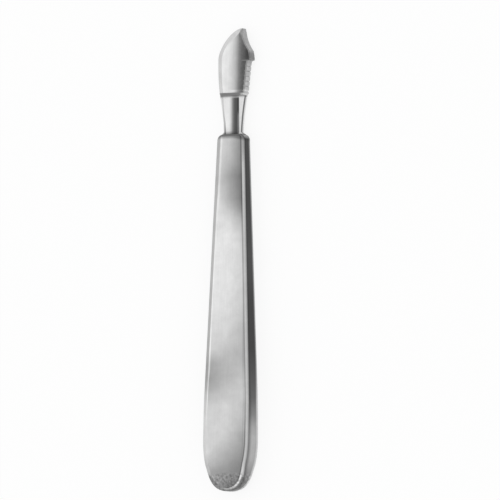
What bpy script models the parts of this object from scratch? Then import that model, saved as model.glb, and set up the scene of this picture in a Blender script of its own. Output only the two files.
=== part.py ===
"""A one-piece forged steel hand instrument: a long flat handle, a narrow neck and a small plate
head with a hooked tooth on one edge.

It lies on the flat back of its handle. +Y runs from the round end to the tip, +X is the toothed
side and +Z is the front. Sizes are in millimetres here and become metres as vertices are made.
The origin is under the middle of the whole length, on the surface that the handle rests on.
"""
import math

import bmesh
import bpy

MM = 0.001

# Whole instrument, along Y from the round end to the tip
LENGTH = 140.0
HEAD_LENGTH = 20.3
NECK_LENGTH = 11.7

# Handle
HANDLE_WIDTH = 15.9
HANDLE_END_LENGTH = 16.0
HANDLE_END_POWER = 2.15
HANDLE_WIDEST_Y = 21.0
HANDLE_BLEND = 10.0
HANDLE_SHOULDER_WIDTH = 9.5
HANDLE_END_THICKNESS = 7.1
HANDLE_SHOULDER_THICKNESS = 4.2
SHOULDER_CORNER_RADIUS = 1.9
SHOULDER_BEVEL_WIDTH = 0.65
BEVEL_WIDTH = 1.25
BEVEL_DEPTH = 0.42
EDGE_RADIUS = 0.45
CREASE_RADIUS = 1.5

# Neck, a flat ten-sided section with a low ridge down its front and back
NECK_ROOT_WIDTH = 5.9
NECK_TOP_WIDTH = 8.5
NECK_THICKNESS = 3.3
NECK_RIDGE = 0.35
NECK_BEVEL_WIDTH = 0.9
NECK_BEVEL_DEPTH = 0.45
NECK_FILLET = 0.8

# Head, measured from the instrument's long axis to either edge
HEAD_THICKNESS = 3.0
HEAD_CROWN = 0.2
HEAD_LEFT = 4.9
HEAD_BASE_INSET = 0.65
HEAD_RIGHT_BASE = 4.35
HEAD_RIGHT_TOP = 5.4
HEAD_BEVEL_WIDTH = 1.5
HEAD_BEVEL_DEPTH = 0.55
HEAD_EDGE_BEVEL = 0.4
HEAD_BASE_CHAMFER = 0.6
HEAD_BASE_CHAMFER_DEPTH = 0.36
HEAD_BASE_CORNER = 0.2
TIP_OFFSET = 3.6
TIP_FLAT = 0.6
TIP_CURVE_LENGTH = 9.0
TIP_CURVE_POWER = 1.55

# Hooked tooth on the right edge, measured down from the tip
TOOTH_REACH = 6.5
TOOTH_POINT_DROP = 9.7
TOOTH_CREST_DROP = 6.9
TOOTH_CREST_INSET = 0.35
TOOTH_HOLLOW = 0.7
TOOTH_ROOT_DROP = 10.8

# Fine notches on the right edge, as many as fit between the tooth and the base
NOTCH_PITCH = 1.5
NOTCH_WIDTH = 0.5
NOTCH_DEPTH = 0.25
NOTCH_CLEARANCE = 0.75

# Overlap of one form into the next, so that they join as one body
JOIN_OVERLAP = 1.2
SMOOTH_ANGLE = math.radians(12.0)

SHOULDER_Y = LENGTH - HEAD_LENGTH - NECK_LENGTH
HEAD_Y = LENGTH - HEAD_LENGTH
MID_Z = HANDLE_SHOULDER_THICKNESS / 2.0


def clear_scene():
    for thing in list(bpy.data.objects):
        bpy.data.objects.remove(thing, do_unlink=True)


def bezier(start, first, second, end, steps):
    """Points along a cubic curve, without its last point."""
    points = []
    for i in range(steps):
        t = i / steps
        s = 1.0 - t
        weights = (s ** 3, 3 * s * s * t, 3 * s * t * t, t ** 3)
        corners = (start, first, second, end)
        points.append(tuple(sum(w * p[k] for w, p in zip(weights, corners)) for k in (0, 1)))
    return points


def arc(centre, radius, first, last, steps):
    """Points on an arc, both ends included, with angles measured from +X."""
    points = []
    for i in range(steps + 1):
        angle = first + (last - first) * i / steps
        points.append((centre[0] + radius * math.cos(angle), centre[1] + radius * math.sin(angle)))
    return points


def body_from_rings(name, rings):
    """A closed solid through rings of equal count, each listed anticlockwise seen from the last."""
    mesh = bpy.data.meshes.new(name)
    shape = bmesh.new()
    loops = []
    for ring in rings:
        loops.append([shape.verts.new((x * MM, (y - LENGTH / 2.0) * MM, z * MM)) for x, y, z in ring])
    count = len(loops[0])
    for lower, upper in zip(loops, loops[1:]):
        for i in range(count):
            j = (i + 1) % count
            shape.faces.new((lower[i], lower[j], upper[j], upper[i]))
    shape.faces.new(list(reversed(loops[0])))
    shape.faces.new(loops[-1])
    bmesh.ops.remove_doubles(shape, verts=shape.verts, dist=0.000001)
    bmesh.ops.recalc_face_normals(shape, faces=shape.faces)
    shape.to_mesh(mesh)
    shape.free()
    mesh.shade_smooth()
    mesh.set_sharp_from_angle(angle=SMOOTH_ANGLE)
    body = bpy.data.objects.new(name, mesh)
    bpy.context.collection.objects.link(body)
    return body


def half_width(y):
    """Half the handle's width above its widest place: a soft bend, then a straight taper."""
    narrowing = (HANDLE_WIDTH - HANDLE_SHOULDER_WIDTH) / 2.0
    straight = SHOULDER_Y - HANDLE_WIDEST_Y - HANDLE_BLEND
    bend = narrowing / (HANDLE_BLEND ** 2 + 2.0 * HANDLE_BLEND * straight)
    along = y - HANDLE_WIDEST_Y
    curved = min(along, HANDLE_BLEND)
    return HANDLE_WIDTH / 2.0 - bend * curved ** 2 - 2.0 * bend * HANDLE_BLEND * (along - curved)


def handle_thickness(y):
    slope = (HANDLE_END_THICKNESS - HANDLE_SHOULDER_THICKNESS) / SHOULDER_Y
    return HANDLE_END_THICKNESS - slope * y


def handle_outline(inset):
    """The handle seen from the front, drawn in by a distance, from the middle of its round end."""
    side = []
    for i in range(29):
        angle = math.pi / 2.0 * i / 28
        x = (HANDLE_WIDTH / 2.0 - inset) * math.sin(angle) ** (2.0 / HANDLE_END_POWER)
        rise = (HANDLE_END_LENGTH - inset) * abs(math.cos(angle)) ** (2.0 / HANDLE_END_POWER)
        side.append((x, HANDLE_END_LENGTH - rise))
    for i in range(9):
        y = HANDLE_WIDEST_Y + HANDLE_BLEND * i / 8
        side.append((half_width(y) - inset, y))
    drop = inset * SHOULDER_BEVEL_WIDTH / BEVEL_WIDTH
    corner = max(SHOULDER_CORNER_RADIUS - inset, SHOULDER_CORNER_RADIUS / 4.0)
    top = SHOULDER_Y - drop
    edge = half_width(top - corner) - inset
    side += arc((edge - corner, top - corner), corner, 0.0, math.pi / 2.0, 14)
    other = [(-x, y) for x, y in reversed(side[1:])]
    return side + other


def bevel_profile():
    """Inset from the side and depth below the face: a rounded edge, and then the bevel."""
    slope = math.atan2(BEVEL_DEPTH, BEVEL_WIDTH)
    turn = math.pi / 2.0 - slope
    run = EDGE_RADIUS * math.tan(turn / 2.0)
    points = []
    for i in range(8):
        angle = turn * i / 7
        inset = EDGE_RADIUS * (1.0 - math.cos(angle))
        points.append((inset, BEVEL_DEPTH + run - EDGE_RADIUS * math.sin(angle)))
    return points


def crease_profile():
    """Inset and depth of the soft crease between the bevel and the face, on from the bevel."""
    slope = math.atan2(BEVEL_DEPTH, BEVEL_WIDTH)
    flat = BEVEL_WIDTH + CREASE_RADIUS * math.tan(slope / 2.0)
    points = []
    for i in range(5):
        angle = slope * (1.0 - i / 4)
        points.append((flat - CREASE_RADIUS * math.sin(angle), CREASE_RADIUS * (1.0 - math.cos(angle))))
    return points


def make_handle(name):
    """The front's crease is soft. The back's is crisp, so that the handle rests on a true flat."""
    rings = []
    for inset, depth in [(BEVEL_WIDTH, 0.0)] + bevel_profile()[::-1]:
        rings.append([(x, y, depth) for x, y in handle_outline(inset)])
    for inset, depth in bevel_profile() + crease_profile():
        rings.append([(x, y, handle_thickness(y) - depth) for x, y in handle_outline(inset)])
    return body_from_rings(name, rings)


def neck_section(y, half):
    side = NECK_THICKNESS / 2.0 - NECK_RIDGE - NECK_BEVEL_DEPTH
    face = NECK_THICKNESS / 2.0 - NECK_RIDGE
    flat = half - NECK_BEVEL_WIDTH
    points = [(half, -side), (half, side), (flat, face), (0.0, NECK_THICKNESS / 2.0), (-flat, face)]
    return [(x, y, MID_Z + z) for x, z in points] + [(-x, y, MID_Z - z) for x, z in points]


def make_neck(name):
    flare = (NECK_TOP_WIDTH - NECK_ROOT_WIDTH) / 2.0
    rings = [neck_section(SHOULDER_Y - JOIN_OVERLAP, NECK_ROOT_WIDTH / 2.0 + NECK_FILLET)]
    for i in range(6):
        angle = math.pi / 2.0 * i / 6
        y = SHOULDER_Y + NECK_FILLET * math.sin(angle)
        rings.append(neck_section(y, NECK_ROOT_WIDTH / 2.0 + NECK_FILLET * (1.0 - math.sin(angle)) ** 2))
    for i in range(9):
        t = i / 8
        y = SHOULDER_Y + NECK_FILLET + (NECK_LENGTH - NECK_FILLET) * t
        rings.append(neck_section(y, NECK_ROOT_WIDTH / 2.0 + flare * (0.4 * t + 0.6 * t * t)))
    rings.append(neck_section(HEAD_Y + JOIN_OVERLAP, NECK_TOP_WIDTH / 2.0))
    return body_from_rings(name, rings)


def left_edge(y):
    """Distance of the head's convex left edge from the axis."""
    bend = LENGTH - TIP_CURVE_LENGTH
    if y > bend:
        rise = min((y - bend) / TIP_CURVE_LENGTH, 1.0)
        reach = (1.0 - rise ** TIP_CURVE_POWER) ** (1.0 / TIP_CURVE_POWER)
        return TIP_OFFSET - TIP_FLAT - (TIP_OFFSET - TIP_FLAT + HEAD_LEFT) * reach
    drop = (bend - y) / (bend - HEAD_Y)
    return -HEAD_LEFT + HEAD_BASE_INSET * drop ** 3


def right_points():
    """The head's right edge from its base to the tip: notches, hooked tooth and hollow flank."""
    root = (HEAD_RIGHT_TOP, LENGTH - TOOTH_ROOT_DROP)
    slope = (HEAD_RIGHT_TOP - HEAD_RIGHT_BASE) / (root[1] - HEAD_Y)
    base = HEAD_Y + HEAD_BASE_CHAMFER
    points = [(HEAD_RIGHT_BASE, HEAD_Y), (HEAD_RIGHT_BASE + slope * HEAD_BASE_CHAMFER, base)]
    first = root[1] - NOTCH_CLEARANCE
    count = 1 + int((first - base - NOTCH_WIDTH) / NOTCH_PITCH)
    for i in range(count, 0, -1):
        y = first - NOTCH_PITCH * (i - 1)
        x = root[0] - slope * (root[1] - y)
        points += [(x, y - NOTCH_WIDTH / 2.0), (x - NOTCH_DEPTH, y), (x, y + NOTCH_WIDTH / 2.0)]
    point = (TOOTH_REACH, LENGTH - TOOTH_POINT_DROP)
    crest = (TOOTH_REACH - TOOTH_CREST_INSET, LENGTH - TOOTH_CREST_DROP)
    hollow = (root[0] + 0.1, point[1] - 0.1)
    points += bezier(root, hollow, (point[0] - TOOTH_HOLLOW, point[1] - 0.15), point, 6)
    points += bezier(point, (point[0] + 0.05, point[1] + 0.7), (crest[0] + 0.1, crest[1] - 0.5), crest, 4)
    for i in range(17):
        left_over = (1.0 - i / 16) ** 1.6
        points.append((TIP_OFFSET + (crest[0] - TIP_OFFSET) * left_over ** 2, LENGTH - TOOTH_CREST_DROP * left_over))
    return points


def head_section(y, left, right, thin):
    """One cross-section of the head: bevelled edges and a crowned front and back."""
    face = HEAD_THICKNESS / 2.0 - thin
    slant = math.hypot(1.0, (left_edge(y + 0.05) - left_edge(y - 0.05)) / 0.1)
    wide = HEAD_BEVEL_WIDTH * min(slant, 3.0)
    share = min(1.0, 0.7 * (right - left) / wide)
    narrow = min(HEAD_EDGE_BEVEL, 0.2 * (right - left))
    inner = left + wide * share
    low = face - HEAD_BEVEL_DEPTH
    top = low + HEAD_BEVEL_DEPTH * share
    edge = min(top - 0.1, face - HEAD_EDGE_BEVEL / 2.0)
    span = right - narrow - inner
    half = [(left, low)]
    for i in range(9):
        t = i / 8
        half.append((inner + span * t, top + 4.0 * HEAD_CROWN * share * t * (1.0 - t)))
    half.append((right, edge))
    front = [(x, y, MID_Z + z) for x, z in half]
    back = [(x, y, MID_Z - z) for x, z in reversed(half)]
    return front + back


def make_head(name):
    """A loft from the chamfered base, one section for each point of the toothed edge."""
    left = left_edge(HEAD_Y) + HEAD_BASE_CORNER
    rings = [head_section(HEAD_Y, left, HEAD_RIGHT_BASE - HEAD_BASE_CORNER, HEAD_BASE_CHAMFER_DEPTH)]
    for x, y in right_points()[1:]:
        rise = min((y - HEAD_Y) / HEAD_BASE_CHAMFER, 1.0)
        rings.append(head_section(y, left_edge(y), x, HEAD_BASE_CHAMFER_DEPTH * (1.0 - rise)))
    return body_from_rings(name, rings)


def steel():
    material = bpy.data.materials.new("polished_steel")
    material.use_nodes = True
    shader = material.node_tree.nodes["Principled BSDF"]
    shader.inputs["Base Color"].default_value = (0.72, 0.72, 0.72, 1.0)
    shader.inputs["Metallic"].default_value = 1.0
    shader.inputs["Roughness"].default_value = 0.3
    return material


def join(body, other):
    """Grow one form out of another; the second stays as a hidden guide."""
    union = body.modifiers.new("join_" + other.name, "BOOLEAN")
    union.operation = "UNION"
    union.solver = "EXACT"
    union.object = other
    other.hide_render = True
    other.display_type = "WIRE"
    other.parent = body


def main():
    clear_scene()
    body = make_handle("ear_hook")
    body.data.materials.append(steel())
    join(body, make_neck("neck_form"))
    join(body, make_head("head_form"))


main()
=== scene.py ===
# %% [markdown]
# # A forged steel ear hook
# This is a hand instrument about as long as a pen: a broad flat handle, a short neck and a small
# plate head with a hooked tooth. It was forged from one bar, ground and polished, so there is one
# solid and one material. This script presses in the round end, gives the whole its smooth skin and
# the steel of the real one, with its reflections painted into its colour, then lights it and looks
# at it from above.

# %% Load the solid
import math

import bmesh
import bpy
from mathutils import Matrix, Vector


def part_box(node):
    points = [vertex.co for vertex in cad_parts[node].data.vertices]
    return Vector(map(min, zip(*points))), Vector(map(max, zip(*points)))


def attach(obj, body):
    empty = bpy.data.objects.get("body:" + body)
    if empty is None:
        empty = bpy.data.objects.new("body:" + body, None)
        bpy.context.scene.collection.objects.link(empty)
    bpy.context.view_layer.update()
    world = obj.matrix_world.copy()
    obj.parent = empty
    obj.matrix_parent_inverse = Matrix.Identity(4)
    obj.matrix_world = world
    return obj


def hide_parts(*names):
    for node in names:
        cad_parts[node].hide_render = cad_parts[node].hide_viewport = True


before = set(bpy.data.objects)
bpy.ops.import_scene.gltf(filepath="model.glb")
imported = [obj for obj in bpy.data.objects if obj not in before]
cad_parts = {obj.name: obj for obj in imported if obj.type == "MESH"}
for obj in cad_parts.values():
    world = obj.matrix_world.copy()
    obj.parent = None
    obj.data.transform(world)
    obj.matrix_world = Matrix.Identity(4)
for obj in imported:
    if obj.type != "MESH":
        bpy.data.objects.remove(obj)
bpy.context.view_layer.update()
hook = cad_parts["ear_hook"]
low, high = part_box("ear_hook")
print("the solid is", [round(1000 * (b - a), 1) for a, b in zip(low, high)], "mm")

# %% [markdown]
# ## Where the camera stands
# The instrument lies on its back, and the picture shows it upright, so the camera looks down on it.
# One side wall of the handle shows as a narrow dark strip, which puts the camera about 30 degrees
# round to that side. A little of the round end's wall shows too, so it also stands a few degrees
# towards the handle. The strip keeps nearly the same share of the width all along, as it does
# through a very long lens, so the lens is long and the camera is far away. A camera without any
# perspective would come close, but a real lens always has a little.

# %% Camera
MM = 0.001
SIDE_ANGLE = math.radians(30.0)
END_ANGLE = math.radians(5.0)
ROLL = math.radians(0.2)
FRAME_HEIGHT = 150.9 * MM
AIM = Vector((3.64, 3.14, -1.68)) * MM
LENS = 600.0
SENSOR = 36.0
NEAREST, FARTHEST = 0.1, 20.0

towards_camera = Vector((
    math.sin(SIDE_ANGLE) * math.cos(END_ANGLE),
    -math.sin(END_ANGLE),
    math.cos(SIDE_ANGLE) * math.cos(END_ANGLE),
))
right = Vector((0.0, 1.0, 0.0)).cross(towards_camera).normalized()
up = towards_camera.cross(right)
distance = FRAME_HEIGHT / 2.0 / (SENSOR / 2.0 / LENS)

camera_data = bpy.data.cameras.new("camera")
camera_data.lens = LENS
camera_data.sensor_width = SENSOR
camera_data.clip_start = NEAREST
camera_data.clip_end = FARTHEST
camera = bpy.data.objects.new("camera", camera_data)
bpy.context.scene.collection.objects.link(camera)
stand = Matrix.Translation(AIM + towards_camera * distance)
axes = Matrix((right, up, towards_camera)).transposed().to_4x4()
camera.matrix_world = stand @ axes @ Matrix.Rotation(ROLL, 4, "Z")
bpy.context.scene.camera = camera
print("the camera is", round(distance, 2), "m away")

# %% [markdown]
# ## One wire that does sums
# A shader is a sum over the surface, and it reads best as one. The class below wraps the output of
# a node. Adding or multiplying two of them adds the Math node that does it, and plain numbers may
# stand on either side. One more method makes any other node: its settings go in first, and then
# the values or wires of its sockets.


# %% Shader sums
class Wire:
    """The output of one node in a material or a world."""

    def __init__(self, tree, socket):
        self.tree = tree
        self.socket = socket

    @classmethod
    def node(cls, tree, kind, settings=None, inputs=None, output=0):
        made = tree.nodes.new(kind)
        for name, value in (settings or {}).items():
            if name == "stops":
                cls.set_stops(made.color_ramp, value)
            else:
                setattr(made, name, value)
        for name, value in (inputs or {}).items():
            if isinstance(value, Wire):
                tree.links.new(value.socket, made.inputs[name])
            else:
                made.inputs[name].default_value = value
        return cls(tree, made.outputs[output]) if len(made.outputs) else made

    @staticmethod
    def set_stops(ramp, stops):
        while len(ramp.elements) > 1:
            ramp.elements.remove(ramp.elements[-1])
        for number, (place, grey) in enumerate(stops):
            stop = ramp.elements[0] if number == 0 else ramp.elements.new(place)
            stop.position = place
            stop.color = (grey, grey, grey, 1.0)

    def sum_with(self, operation, first, second):
        operands = {0: first, 1: second}
        return Wire.node(self.tree, "ShaderNodeMath", {"operation": operation}, operands)

    def __add__(self, other):
        return self.sum_with("ADD", self, other)

    def __radd__(self, other):
        return self.sum_with("ADD", other, self)

    def __sub__(self, other):
        return self.sum_with("SUBTRACT", self, other)

    def __rsub__(self, other):
        return self.sum_with("SUBTRACT", other, self)

    def __mul__(self, other):
        return self.sum_with("MULTIPLY", self, other)

    def __rmul__(self, other):
        return self.sum_with("MULTIPLY", other, self)

    def __truediv__(self, other):
        return self.sum_with("DIVIDE", self, other)

    def __rtruediv__(self, other):
        return self.sum_with("DIVIDE", other, self)


print("a wire can add, subtract, multiply and divide")

# %% [markdown]
# ## The round end
# On the real handle the front and the back lean in towards each other over the last eight
# millimetres, so the side wall gets narrower there, and the end is a little blunter from the
# front. The solid keeps straight faces up to its end. A lattice could bend a copy of it, but plain
# sums are easier to read, so the copy is cut across every millimetre, which keeps the long flats
# flat, and then its end is pressed in. The pressed copy takes the place of the solid.

# %% Pressing in the round end
BEND_Y = -62.0
BEND_CUTS = 8
FRONT_LEAN = 0.18
BACK_LEAN = 0.17
BLUNTER = 0.0045
SAME_POINT = 0.002 * MM
HARD_EDGE = math.radians(12.0)

shape = bmesh.new()
shape.from_mesh(hook.data)
bmesh.ops.remove_doubles(shape, verts=shape.verts, dist=SAME_POINT)
for number in range(BEND_CUTS):
    everything = shape.verts[:] + shape.edges[:] + shape.faces[:]
    cut = Vector((0.0, (BEND_Y - number) * MM, 0.0))
    bmesh.ops.bisect_plane(shape, geom=everything, plane_co=cut, plane_no=(0.0, 1.0, 0.0))
for point in shape.verts:
    beyond = max(BEND_Y * MM - point.co.y, 0.0)
    in_front = point.co.z > high[2] / 2.0
    point.co.z += -FRONT_LEAN * beyond if in_front else BACK_LEAN * beyond
    point.co.x *= 1.0 + BLUNTER * (beyond / MM) ** 2

forged = bpy.data.meshes.new("forged_steel")
shape.to_mesh(forged)
shape.free()
forged.shade_smooth()
forged.set_sharp_from_angle(angle=HARD_EDGE)
forging = bpy.data.objects.new("forged_ear_hook", forged)
bpy.context.scene.collection.objects.link(forging)
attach(forging, "root")
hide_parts("ear_hook")
print("the forging has", len(forged.vertices), "points")

# %% [markdown]
# ## Flats that look flat
# Smooth shading would let the narrow bevels pull on the light over the wide ground faces. Edges
# that turn by more than 12 degrees are kept hard, and the Weighted Normal modifier lets the big
# faces set the direction of the rest. It moves no point.

# %% Flats
flats = forging.modifiers.new("flats", "WEIGHTED_NORMAL")
flats.mode = "FACE_AREA"
flats.keep_sharp = True
flats.weight = 100
print("hard edges:", sum(edge.use_edge_sharp for edge in forged.edges))

# %% [markdown]
# ## The steel, with its reflections painted in, part by part
# Polished steel has hardly a colour of its own: it shows light where it leans towards the window
# and dark where it leans towards the room. A room full of windows and black cards could be built
# round it, but its reflections would slide about as the viewer moves. Here the room is plain
# white, and those reflections are painted into the metal's colour, as painted highlights and
# painted shade, by where a spot lies on the instrument and which way it leans, so they stay in
# place from every side. Lengths are in millimetres and leans in degrees, measured from the front,
# and the back is treated the same way.

# %% Places and leans
TINY = 0.0001

steel = bpy.data.materials.new("satin_steel_painted_reflections")
steel.use_nodes = True
steel.node_tree.nodes.clear()


def add(kind, settings=None, inputs=None, output=0):
    return Wire.node(steel.node_tree, kind, settings, inputs, output)


def split(vector):
    parts = add("ShaderNodeSeparateXYZ", None, {"Vector": vector})
    return [Wire(parts.tree, socket) for socket in parts.socket.node.outputs]


def sums(operation, first, second=0.0):
    return add("ShaderNodeMath", {"operation": operation}, {0: first, 1: second})


def report(made):
    print(made, "wired,", len(steel.node_tree.nodes), "nodes so far")


place = add("ShaderNodeTexCoord", None, None, "Object")
millimetres = add("ShaderNodeVectorMath", {"operation": "SCALE"}, {0: place, "Scale": 1.0 / MM})
x, y, z = split(millimetres)
to_side, to_tip, to_front = split(add("ShaderNodeTexCoord", None, None, "Normal"))

level = sums("ABSOLUTE", to_front)
flat_part = sums("SQRT", to_side * to_side + to_tip * to_tip)
lean = sums("ARCTAN2", flat_part, level) * (180.0 / math.pi)
rightward = to_side / (flat_part + TINY)
tipward = to_tip / (flat_part + TINY)
signed_lean = lean * rightward
report("places and leans")

# %% [markdown]
# Small helpers turn a place or a lean into a tone. A step eases from 0 to 1 between two places, and
# "until" eases from 1 to 0. A stripe is 1 along its middle and fades out on both sides. A run gives
# a grey, or a width, for each place along the way and joins them up. A blend goes from one tone to
# another as its share goes from 0 to 1.


# %% Steps, stripes, runs and blends
def step(value, start, end):
    return add(
        "ShaderNodeMapRange", {"interpolation_type": "SMOOTHSTEP"},
        {"Value": value, "From Min": start, "From Max": end, "To Min": 0.0, "To Max": 1.0},
    )


def until(value, start, end):
    return 1.0 - step(value, start, end)


def stripe(off_middle, core, fade):
    return until(sums("ABSOLUTE", off_middle), core, fade)


def positive(value):
    return sums("MAXIMUM", value, 0.0)


def run(value, tones):
    first, last = tones[0][0], tones[-1][0]
    stops = [((where - first) / (last - first), grey) for where, grey in tones]
    return add("ShaderNodeValToRGB", {"stops": stops}, {"Fac": (value - first) / (last - first)})


def blend(share, first, second):
    return first + (second - first) * share


print("the helpers for tones are ready")

# %% [markdown]
# ## Where a spot lies on the handle
# The handle's tones follow its outline, so the outline is needed as a sum: the handle gets narrower
# towards the neck, and its round end is part of an ellipse. From it follow how far across the flat
# a spot lies, how far it is from the long edge on the plain side and how deep it lies below the
# nearest face. Painting the tones by hand would need a picture for each face, but sums don't.

# %% Places on the handle
END_Y, SHOULDER_Y, HEAD_Y = -70.0, 38.0, 49.7
END_THICK, SHOULDER_THICK = 7.1, 4.2
WIDEST_HALF = 7.95
TAPER_Y, TAPER_HALF, TAPER = -39.0, 7.755, 0.039
ROUND_Y, ROUND_LENGTH = -56.0, 14.5
LEAST_SQUARE = 0.05

past_round = positive(ROUND_Y - y) / ROUND_LENGTH
narrower = sums("SQRT", sums("MAXIMUM", 1.0 - past_round * past_round, LEAST_SQUARE))
half_width = sums("MINIMUM", WIDEST_HALF, TAPER_HALF - TAPER * (y - TAPER_Y)) * narrower
across = x / half_width
from_plain_edge = x + half_width
from_toothed_edge = half_width - x

past_bend = positive(BEND_Y - y)
above_back = z - BACK_LEAN * past_bend
thickness = END_THICK - (y - END_Y) * ((END_THICK - SHOULDER_THICK) / (SHOULDER_Y - END_Y))
depth = sums("MINIMUM", above_back, thickness - FRONT_LEAN * past_bend - z)
off_face = step(depth, 0.004, 0.02)
rough_end = until(y, -65.9, -63.9)
report("places on the handle")

# %% [markdown]
# ## The handle's flat
# The long flat is a shallow mirror, and its reflection is painted into its colour: a painted
# highlight of the bright window along its middle, and painted shade where it turns to the room: in
# a band near the neck, in a cloudy band above the round end, and at the end itself. The bands lie
# a little askew. So three runs make the painted tone: one for the middle line, one for how much it
# rises towards the plain side, and one for how much it falls towards the toothed side.

# %% Flat of the handle
middle_tone = run(y, [
    (-70.0, 0.17), (-65.0, 0.29), (-61.5, 0.38), (-52.0, 0.62), (-44.5, 0.63), (-38.5, 0.50),
    (-32.0, 0.45), (-23.5, 0.61), (-14.0, 0.70), (7.0, 0.745), (12.0, 0.64), (18.5, 0.42),
    (25.0, 0.36), (32.0, 0.50), (37.0, 0.55),
])
plain_rise = run(y, [
    (-70.0, 0.30), (-64.0, 0.29), (-58.0, 0.42), (-53.0, 0.24), (-44.0, 0.14), (-36.0, 0.02),
    (-31.0, 0.12), (-27.0, 0.26), (-18.0, 0.24), (10.0, 0.22), (13.5, 0.38), (18.5, 0.56),
    (24.0, 0.47), (31.0, 0.38), (38.0, 0.33),
]) - 0.2
toothed_fall = run(y, [
    (-70.0, 0.10), (-60.0, 0.29), (-52.5, 0.38), (-48.5, 0.27), (-44.5, 0.24), (-40.0, 0.02),
    (-33.0, 0.04), (-28.0, 0.22), (-20.0, 0.30), (-2.0, 0.20), (8.0, 0.30), (15.0, 0.45),
    (20.0, 0.38), (26.0, 0.34), (33.0, 0.45), (38.0, 0.47),
]) - 0.1
# the flat's painted reflection: painted window highlight and painted room shade
flat_painted_tone = middle_tone + plain_rise * positive(0.0 - across) - toothed_fall * positive(across)
report("the handle's flat")

# %% [markdown]
# ## The bevel on the toothed side
# The flat is bordered by a ground bevel and a rounded edge. Both are narrow, so each shows as a
# bright or a dark line, painted in as reflections: the crease painted dark, the bevel a painted
# highlight and the edge painted dark again. Round the end the bevel gets the painted reflection of
# the window and becomes the brightest line of all. The depth below the face tells these lines
# apart, because the bevel slopes down as it goes out.

# %% Toothed edge
CREASE_SHARE = 0.62
END_BRIGHTER, SHOULDER_DARKER = 0.2, 0.3

toothed_edge = run(depth, [
    (0.0, 0.30), (0.05, 0.26), (0.10, 0.40), (0.15, 0.53), (0.25, 0.53), (0.34, 0.40),
    (0.46, 0.27), (0.60, 0.17), (0.80, 0.14), (1.0, 0.12),
])
end_edge = run(depth, [
    (0.0, 0.16), (0.08, 0.17), (0.12, 0.50), (0.16, 0.66), (0.22, 0.62), (0.27, 0.30),
    (0.34, 0.15), (0.55, 0.17), (1.0, 0.25),
])
brighter_end = END_BRIGHTER * until(y, -66.0, -58.0)
darker_shoulder = SHOULDER_DARKER * step(y, 27.0, 35.0)
toothed_edge = toothed_edge * (1.0 + brighter_end - darker_shoulder)
crease = off_face * until(depth, 0.06, 0.11)
toothed_edge = blend(crease, toothed_edge, CREASE_SHARE * flat_painted_tone)
toothed_edge = blend(until(y, -67.5, -64.0), toothed_edge, end_edge)
report("the toothed edge")

# %% [markdown]
# ## The rim on the plain side
# On this side the bevel is a dull rim whose grey takes a share of the flat's painted reflection,
# with one fine painted highlight line where polishing rounded its crease over. The rim gets wider
# and narrower along the handle, as grinding by hand leaves it, so its width is a run too. A line
# drawn by depth would keep one width.

# %% Plain rim
FINE_LINE_OFFSET = 0.36
RIM_GREY, RIM_MIRROR = 0.27, 0.22
ROUGH_DARKER = 0.45

rim_width = run(y, [
    (-70.0, 1.20), (-66.0, 0.80), (-64.0, 0.45), (-54.0, 0.60), (-44.0, 0.90), (-37.0, 0.95),
    (-33.0, 1.20), (-27.0, 1.05), (-4.0, 0.90), (10.0, 1.15), (20.0, 1.45), (38.0, 1.45),
])
rim_extra = run(y, [
    (-70.0, 0.10), (-64.0, 0.14), (-58.0, 0.18), (-50.0, 0.20), (-44.0, 0.16), (-41.0, 0.12),
    (-38.0, 0.04), (-35.0, 0.0),
])
rim_tone = RIM_GREY + RIM_MIRROR * flat_painted_tone + rim_extra
rim_tone = rim_tone * (1.0 - ROUGH_DARKER * rough_end)
past_rim = from_plain_edge - rim_width
# painted highlight line along the rounded crease of the rim
fine_highlight_line = stripe(past_rim - FINE_LINE_OFFSET, 0.22, 0.50) * run(y, [
    (-70.0, 0.10), (-66.0, 0.08), (-64.0, 0.13), (-56.0, 0.05), (-50.0, 0.05), (-42.0, 0.30),
    (-28.0, 0.26), (-20.0, 0.12), (-4.0, 0.08), (10.0, 0.03), (20.0, 0.10), (34.0, 0.11),
])
flat_painted_tone = blend(until(past_rim, -0.15, 0.15), flat_painted_tone + fine_highlight_line, rim_tone)
report("the plain rim")

# %% [markdown]
# ## The crease and the side walls
# A thin painted dark line runs where the flat meets the bevel. The side walls get painted shade
# for most of their length. They are painted lighter towards the round end, where they turn to the
# window, and along the bottom, as a painted reflection of the light of the tray. The rounded
# corner beside the neck gets a painted highlight as well. The way a wall leans towards the tip
# tells where that corner is.

# %% Crease and walls
CREASE_SHIFT = 0.05
CORNER_TONE = 0.66
TOP_DARKER, TOP_DARKER_END = 0.30, 0.22
TRAY_TONE, TRAY_TONE_END, TRAY_REACH = 0.48, 0.13, 0.5

bevel_width = run(y, [
    (-60.0, 1.83), (-52.0, 1.80), (-28.0, 1.53), (-16.0, 1.22), (-3.0, 0.90), (20.0, 1.08),
    (38.0, 1.10),
])
crease_shade_line = stripe(from_toothed_edge - bevel_width - CREASE_SHIFT, 0.06, 0.30) * run(y, [
    (-62.0, 0.0), (-56.0, 0.10), (-46.0, 0.16), (-30.0, 0.25), (-14.0, 0.20), (-4.0, 0.12),
    (8.0, 0.12), (16.0, 0.20), (38.0, 0.20),
])
flat_painted_tone = flat_painted_tone * (1.0 - crease_shade_line)

wall = run(y, [
    (-70.0, 0.14), (-66.0, 0.26), (-60.0, 0.43), (-54.0, 0.45), (-50.0, 0.35), (-47.0, 0.23),
    (-42.0, 0.12), (-34.0, 0.07), (-27.0, 0.04), (-12.0, 0.04), (-6.0, 0.052), (1.0, 0.06),
    (8.0, 0.054), (15.0, 0.045), (36.0, 0.05), (37.5, 0.12),
])
near_end = until(y, -46.0, -30.0)
shaded_top = until(depth, 0.6, 1.6 + near_end)
wall = wall * (1.0 - (TOP_DARKER + TOP_DARKER_END * near_end) * shaded_top)
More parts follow.
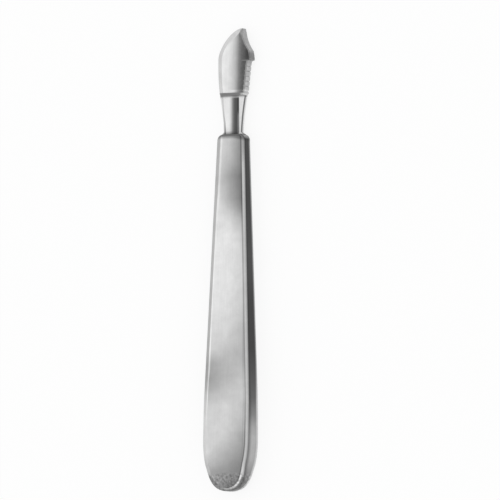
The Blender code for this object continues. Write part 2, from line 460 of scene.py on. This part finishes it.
# painted highlight on the rounded corner beside the neck
corner = step(tipward, 0.10, 0.65) * step(y, 33.0, 35.5)
wall = blend(corner, wall, CORNER_TONE)
# painted reflection of the tray's light along the bottom of the wall
lit_by_tray = until(above_back - TRAY_REACH * near_end, 0.6, 1.7)
wall = blend(lit_by_tray, wall, TRAY_TONE + TRAY_TONE_END * near_end)
report("the crease and the walls")

# %% [markdown]
# ## The handle put together
# Now each spot gets the painted tone of the face it lies on: the flat, one of the two edges, or a
# wall. The last two millimetres before the neck get painted shade, a little farther down on the
# toothed side.

# %% Whole handle
DARK_SLOPE, DARK_SLOPE_X = 0.2, 0.9

edge_tone = blend(step(rightward, -0.35, 0.35), rim_tone, toothed_edge)
edge_tone = blend(step(lean, 55.0, 80.0), edge_tone, wall)
handle_tone = blend(off_face, flat_painted_tone, edge_tone)
shoulder_dark = run(y + DARK_SLOPE * positive(x - DARK_SLOPE_X), [
    (36.3, 1.0), (36.65, 0.85), (36.95, 0.60), (37.25, 0.48), (37.6, 0.44), (38.2, 0.42),
])
handle_tone = handle_tone * shoulder_dark
report("the whole handle")

# %% [markdown]
# ## The front of the neck
# The neck is two facets that meet in a ridge down its middle, between narrow bevels, and one gets
# a painted highlight and one painted shade. The dark facet stops sharply at its painted light
# bevel, and near the head a painted dark strip makes it darkest right there. A fine crease runs
# down the plain side, painted as a dark line. Just under the head both facets fade towards one
# grey. Their painted tones go across, so one run does most of it.

# %% Neck front
NECK_LENGTH = 10.9
ROOT_HALF, WIDENING = 2.95, 1.3
STRAIGHT_SHARE, CURVED_SHARE = 0.4, 0.6
UNDER_HEAD_GREY, UNDER_HEAD_SHARE = 0.50, 0.6
DARKER_STRIP = 0.65

neck_front = run(x, [
    (-4.4, 0.70), (-2.8, 0.74), (-0.9, 0.75), (-0.4, 0.69), (0.1, 0.50), (0.5, 0.25),
    (0.85, 0.16), (1.2, 0.10), (1.9, 0.08), (2.1, 0.15), (2.3, 0.17), (2.52, 0.26),
    (2.6, 0.64), (2.9, 0.71), (4.4, 0.77),
])
neck_top = step(y, HEAD_Y - 1.0, HEAD_Y - 0.4)
neck_front = blend(UNDER_HEAD_SHARE * neck_top, neck_front, UNDER_HEAD_GREY)

up_the_neck = (y - (HEAD_Y - NECK_LENGTH)) / NECK_LENGTH
flare = up_the_neck * (STRAIGHT_SHARE + CURVED_SHARE * up_the_neck)
half_neck = ROOT_HALF + WIDENING * flare
crease_inset = run(y, [(39.0, 0.66), (41.5, 0.70), (43.7, 0.52), (46.2, 0.65), (48.6, 0.92)])
plain_crease_shade = stripe(x + half_neck - crease_inset, 0.15, 0.50) * run(y, [
    (38.5, 0.66), (40.0, 0.58), (42.0, 0.40), (46.0, 0.24), (50.0, 0.22),
])
dark_strip = step(x, 1.9, 2.1) * until(x, 2.58, 2.66) * (step(y, 43.0, 45.5) - neck_top)
neck_front = neck_front * (1.0 - plain_crease_shade) * (1.0 - DARKER_STRIP * dark_strip)
report("the neck's front")

# %% [markdown]
# ## The sides and the roots of the neck
# The side walls get a painted light tone, with a painted dark line right under each bevel. Where
# the neck enters the handle and the head there is always a painted shade line, because light
# can't reach in there. A renderer can measure such corners by itself, but only over a given
# distance, and a run of greys is finer.

# %% Neck sides and roots
NECK_LINE_Z = SHOULDER_THICK / 2.0 + 0.35
NECK_WALL = 0.72
LINE_DARKER = 0.78
RIGHT_WEAKER, LIGHT_STRIP_WEAKER = 0.45, 0.25
UNDER_HEAD_DARKER = 0.55

wall_shade_line = stripe(z - NECK_LINE_Z, 0.25, 0.68)
neck_wall = NECK_WALL * (1.0 - LINE_DARKER * wall_shade_line)
neck_tone = blend(step(lean, 45.0, 70.0), neck_front, neck_wall)
root_shade = run(y, [
    (38.0, 0.70), (38.3, 0.59), (38.6, 0.38), (38.9, 0.20), (39.2, 0.12), (40.0, 0.04),
    (41.0, 0.0),
])
weaker = RIGHT_WEAKER * step(x, 0.0, 1.5) + LIGHT_STRIP_WEAKER * step(x, 2.4, 2.6)
under_head_shade = step(y, HEAD_Y - 0.55, HEAD_Y - 0.15)
neck_tone = neck_tone * (1.0 - root_shade * (1.0 - weaker))
neck_tone = neck_tone * (1.0 - UNDER_HEAD_DARKER * under_head_shade)
report("the whole neck")

# %% [markdown]
# ## The face of the head
# The head is a thin plate with a slightly crowned face, and its painted reflection slides from
# light on the plain side to dark on the toothed side. The slide leans a little, and the painted
# shade is deepest behind the hooked tooth. The crown is so low that real reflections on it would
# show almost one grey, so its slide is painted as a run as well.

# %% Head face
CROWN_LEAN, CROWN_Y = 0.03, 60.0
SHADE_BEHIND_TOOTH_Y = 62.0
SHADE_BEHIND_TOOTH_DARKER = 0.45

crown_painted_reflection = run(x - CROWN_LEAN * (y - CROWN_Y), [
    (-4.5, 0.72), (-2.6, 0.75), (-1.9, 0.71), (-0.8, 0.70), (0.3, 0.61), (1.3, 0.50),
    (2.0, 0.37), (2.7, 0.22), (3.4, 0.145), (4.2, 0.11), (6.5, 0.11),
])
# painted shade behind the hooked tooth
shade_behind_tooth = step(x, 4.2, 5.4) * stripe(y - SHADE_BEHIND_TOOTH_Y, 0.8, 2.4)
crown_painted_reflection = crown_painted_reflection * (1.0 - SHADE_BEHIND_TOOTH_DARKER * shade_behind_tooth)
report("the head's face")

# %% [markdown]
# ## The border, the tooth and the base of the head
# A ground border runs round the plain side and the tip, and it gets a painted highlight or painted
# shade by which way it leans. The tooth gets painted shade and the notched edge below it a painted
# highlight. The base is chamfered: the chamfer gets painted shade, with a thin painted highlight
# line above it, and it is painted light at its end.

# %% Head border and base
TOOTH_Y = 61.5
BASE_LINE_Y = HEAD_Y + 1.35
BASE_SLOPE = 0.04
TOOTH_DARKER, BELOW_LIGHTER, LINE_LIGHTER = 0.38, 0.30, 0.35
BASE_GREY, BASE_RISE = 0.20, 0.42

border = run(signed_lean, [
    (-90.0, 0.42), (-25.0, 0.56), (-8.0, 0.60), (8.0, 0.16), (22.0, 0.22), (40.0, 0.46),
    (50.0, 0.50), (70.0, 0.40), (90.0, 0.38),
])
# painted shade on the tooth, and a painted highlight on the notched edge below it
tooth_shade = step(x, 5.4, 6.2) * stripe(y - TOOTH_Y, 0.6, 1.8)
below_tooth_highlight = step(signed_lean, 20.0, 40.0) * until(y, 58.5, 60.0)
border = border * (1.0 - TOOTH_DARKER * tooth_shade) * (1.0 + BELOW_LIGHTER * below_tooth_highlight)
head_tone = blend(step(lean, 5.0, 12.0), crown_painted_reflection, border)

# painted highlight line above the base chamfer, then the chamfer's painted shade and light
base_highlight_line = stripe(y - BASE_LINE_Y, 0.20, 0.45) * step(x, -1.0, 1.2)
head_tone = head_tone * (1.0 + LINE_LIGHTER * base_highlight_line)
base_chamfer_painted_tone = until(y + BASE_SLOPE * x, HEAD_Y + 0.65, HEAD_Y + 0.95)
head_tone = blend(base_chamfer_painted_tone, head_tone, BASE_GREY + BASE_RISE * step(x, 2.7, 4.1))

# the painted tones of handle, neck and head join into one painted tone
tone = blend(step(y, SHOULDER_Y - 0.1, SHOULDER_Y + 0.1), handle_tone, neck_tone)
tone = blend(step(y, HEAD_Y - 0.1, HEAD_Y + 0.05), tone, head_tone)
report("the whole instrument")

# %% [markdown]
# ## Grain and wear
# The last polish runs along the instrument, so the fine lines do too: the noise is stretched along
# the length. A wider, weaker cloud breaks up the even tone as handling does. The last few
# millimetres of the round end were left as the grinding wheel made them, so the grains there are
# strong, and the dark side of the head has some of them too.


# %% Grain
LINES_DEPTH, CLOUD_DEPTH = 0.16, 0.28
PITS_EVERYWHERE, PITS_END, PITS_HEAD = 0.07, 1.9, 0.45
NOISE_ROUGHNESS = 0.55


def noise(places, scale, detail):
    settings = {"noise_dimensions": "3D"}
    inputs = {"Vector": places, "Scale": scale, "Detail": detail, "Roughness": NOISE_ROUGHNESS}
    return add("ShaderNodeTexNoise", settings, inputs)


stretch = {0: millimetres, 1: (3.0, 0.12, 3.0)}
lines = noise(add("ShaderNodeVectorMath", {"operation": "MULTIPLY"}, stretch), 1.0, 4.0)
cloud = noise(millimetres, 0.30, 4.0)
pits = noise(millimetres, 1.3, 2.0)

dark_side = step(y, HEAD_Y + 1.0, HEAD_Y + 2.0) * step(x, 2.0, 3.5)
pits_depth = PITS_EVERYWHERE + PITS_END * rough_end + PITS_HEAD * dark_side
mottle = LINES_DEPTH * (lines - 0.5) + CLOUD_DEPTH * (cloud - 0.5) + pits_depth * (pits - 0.5)
# grain and wear laid over the painted light and shade
painted_tone_and_wear = tone * (1.0 + mottle)
report("grain and wear")

# %% [markdown]
# ## The metal itself
# The painted tone, with the grain and wear on it, becomes the colour of a full metal. The fine
# lines and the cloud also change the roughness a little, between a satin and a soft shine, and a
# very low bump lets them catch light.

# %% Metal
ROUGHNESS, ROUGHNESS_LINES, ROUGHNESS_CLOUD = 0.26, 0.10, 0.08
RELIEF, RELIEF_STRENGTH, PITS_SHARE = 0.02 * MM, 0.12, 0.4

metal_colour = add("ShaderNodeCombineColor", None, {"Red": painted_tone_and_wear, "Green": painted_tone_and_wear, "Blue": painted_tone_and_wear})
gloss = ROUGHNESS + ROUGHNESS_LINES * lines + ROUGHNESS_CLOUD * cloud
height = lines + PITS_SHARE * pits
bumps = {"Strength": RELIEF_STRENGTH, "Distance": RELIEF, "Height": height}
relief = add("ShaderNodeBump", None, bumps)
shader = add(
    "ShaderNodeBsdfPrincipled", None,
    {"Base Color": metal_colour, "Metallic": 1.0, "Roughness": gloss, "Normal": relief},
)
add("ShaderNodeOutputMaterial", None, {"Surface": shader})
forged.materials.append(steel)
report("satin steel")

# %% [markdown]
# ## Floor and room
# The floor is white paper. To the camera and to the metal it glows at white, with a little plain
# paper mixed in that takes the soft shadow. A brightly lit paper could do the same, but its white
# would be uneven. The room is white as well, a shade lower for the paper.

# %% Floor and room
FLOOR_SIZE = 3.0
FLOOR_GAP = 0.02 * MM
WHITE = (1.0, 1.0, 1.0, 1.0)
PAPER = (0.95, 0.95, 0.95, 1.0)
GLOW_SHARE = 0.85
ROOM_LIGHT = 0.95


def looked_at(tree):
    """1 for a ray that should meet the plain white, 0 for one that carries light to things."""
    rays = tree.nodes.new("ShaderNodeLightPath")
    names = ("Is Camera Ray", "Is Glossy Ray", "Is Transmission Ray")
    camera_ray, glossy_ray, through_ray = [Wire(tree, rays.outputs[name]) for name in names]
    return camera_ray + glossy_ray + through_ray


paper = bpy.data.materials.new("white_paper")
paper.use_nodes = True
leaves = paper.node_tree
leaves.nodes.clear()
glow = Wire.node(leaves, "ShaderNodeEmission", None, {"Color": WHITE, "Strength": 1.0})
matt = Wire.node(leaves, "ShaderNodeBsdfDiffuse", None, {"Color": PAPER})
shares = {0: GLOW_SHARE * looked_at(leaves), 1: matt, 2: glow}
mixed = Wire.node(leaves, "ShaderNodeMixShader", None, shares)
Wire.node(leaves, "ShaderNodeOutputMaterial", None, {"Surface": mixed})

floor_mesh = bpy.data.meshes.new("floor")
half = FLOOR_SIZE / 2.0
corners = [(-half, -half, 0.0), (half, -half, 0.0), (half, half, 0.0), (-half, half, 0.0)]
floor_mesh.from_pydata(corners, [], [(0, 1, 2, 3)])
floor_mesh.materials.append(paper)
floor = bpy.data.objects.new("floor", floor_mesh)
floor.location.z = low[2] - FLOOR_GAP
bpy.context.scene.collection.objects.link(floor)

room = bpy.data.worlds.new("white room")
room.use_nodes = True
air = room.node_tree
air.nodes.clear()
brightness = ROOM_LIGHT + (1.0 - ROOM_LIGHT) * looked_at(air)
sky = Wire.node(air, "ShaderNodeBackground", None, {"Color": WHITE, "Strength": brightness})
Wire.node(air, "ShaderNodeOutputWorld", None, {"Surface": sky})
bpy.context.scene.world = room
print("the floor lies", round(1000 * floor.location.z, 3), "mm below the origin")

# %% [markdown]
# ## Lamps
# One wide lamp stands high on the plain side, like a window, and one small lamp low on the toothed
# side keeps the shadow from going deep. Round lamps are used, because their shadows have no
# corners.


# %% Lamps
def lamp(name, stand, size, power):
    data = bpy.data.lights.new(name, "AREA")
    data.shape = "DISK"
    data.size = size
    data.energy = power
    made = bpy.data.objects.new(name, data)
    made.location = stand
    made.rotation_euler = Vector(stand).to_track_quat("Z", "Y").to_euler()
    bpy.context.scene.collection.objects.link(made)
    return made


lamps = [
    lamp("window", (-0.8, 0.3, 0.6), 0.8, 0.25),
    lamp("fill", (0.8, -0.4, 0.5), 0.6, 0.08),
]
print("lamps:", [item.name for item in lamps])

# %% [markdown]
# ## Closing up
# The view keeps plain sRGB colours.

# %% Finish
bpy.context.scene.view_settings.view_transform = "Standard"
